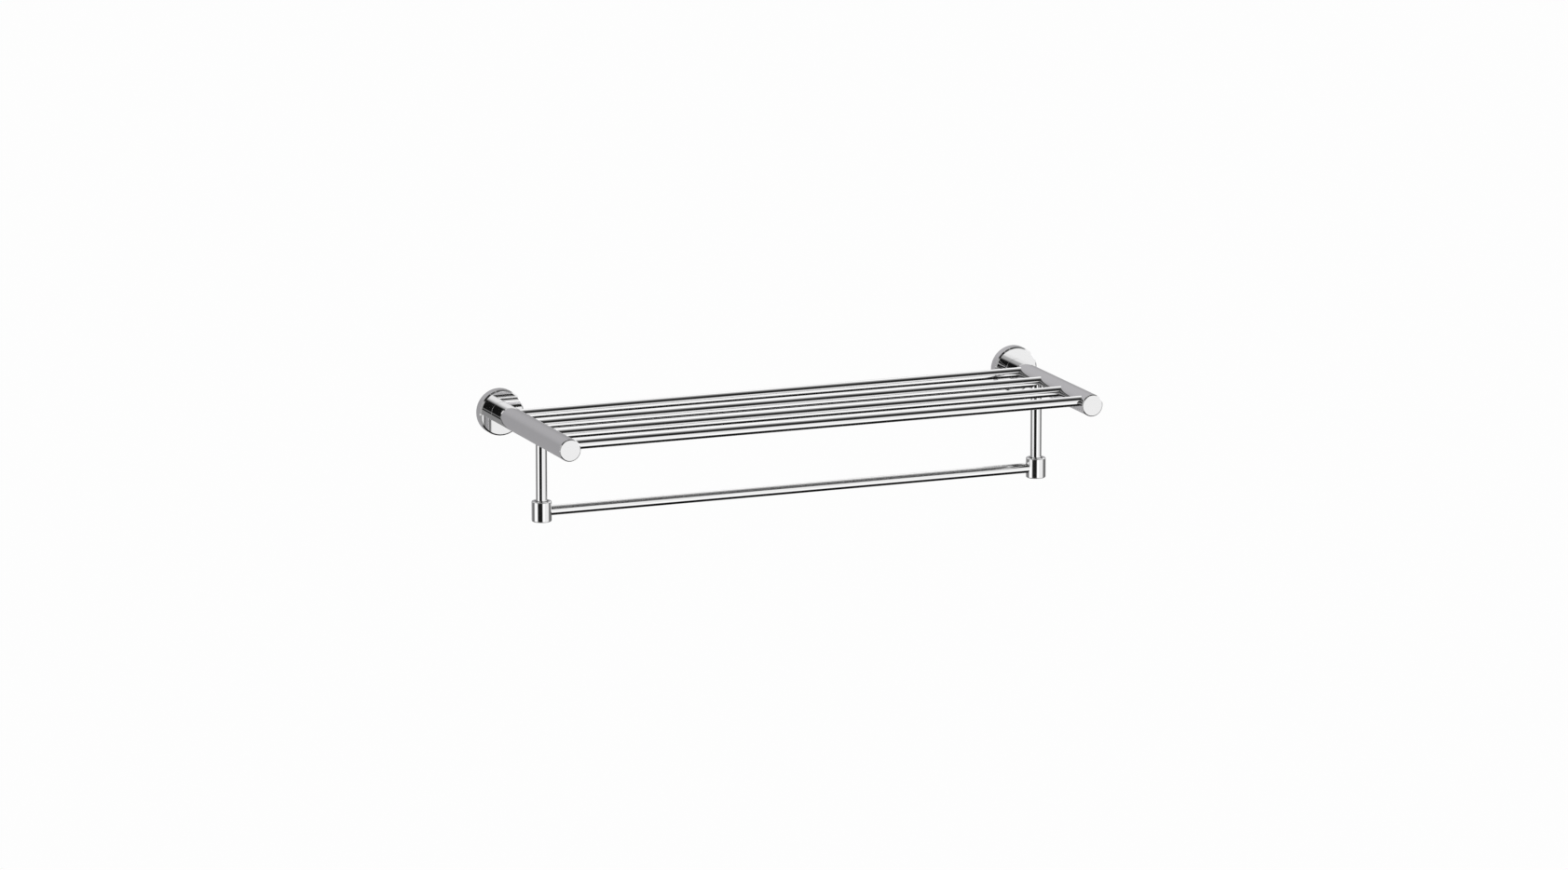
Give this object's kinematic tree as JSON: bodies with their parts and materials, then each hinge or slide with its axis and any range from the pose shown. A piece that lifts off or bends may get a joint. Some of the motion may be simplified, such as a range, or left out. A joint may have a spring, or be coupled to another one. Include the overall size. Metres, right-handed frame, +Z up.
{
  "type": "towel rack",
  "caption": "Wall-mounted polished metal towel shelf: round arms on round rosettes carry straight shelf rods, and vertical posts hold a towel bar below them.",
  "frame": {"origin": "centre of the four wall screw holes: on the wall plane, midway between the two arm axes and at their height", "axes": "+X along the rods towards the right-hand end as seen by someone facing the wall, +Y towards the wall, +Z up"},
  "size_m": [0.65, 0.217, 0.127],
  "materials": {
    "polished_chrome": "mirror-polished chrome plate",
    "plate_steel": "stamped stainless steel, brushed",
    "screw_steel": "plain stainless steel",
    "brass_insert": "turned, unpolished"
  },
  "bodies": {
    "root": {"left_wall_plate": "plate_steel", "right_wall_plate": "plate_steel", "left_rosette": "polished_chrome", "right_rosette": "polished_chrome", "left_rosette_set_screw": "screw_steel", "right_rosette_set_screw": "screw_steel", "left_arm": "polished_chrome", "right_arm": "polished_chrome", "left_arm_insert": "brass_insert", "right_arm_insert": "brass_insert", "left_arm_washer": "screw_steel", "right_arm_washer": "screw_steel", "left_arm_screw": "screw_steel", "right_arm_screw": "screw_steel", "left_arm_end_cap": "polished_chrome", "right_arm_end_cap": "polished_chrome", "shelf_rod_1": "polished_chrome", "shelf_rod_2": "polished_chrome", "shelf_rod_3": "polished_chrome", "shelf_rod_4": "polished_chrome", "left_hanger_post": "polished_chrome", "right_hanger_post": "polished_chrome", "left_bar_socket": "polished_chrome", "right_bar_socket": "polished_chrome", "left_socket_set_screw": "screw_steel", "right_socket_set_screw": "screw_steel", "towel_bar": "polished_chrome"}
  },
  "joints": []
}
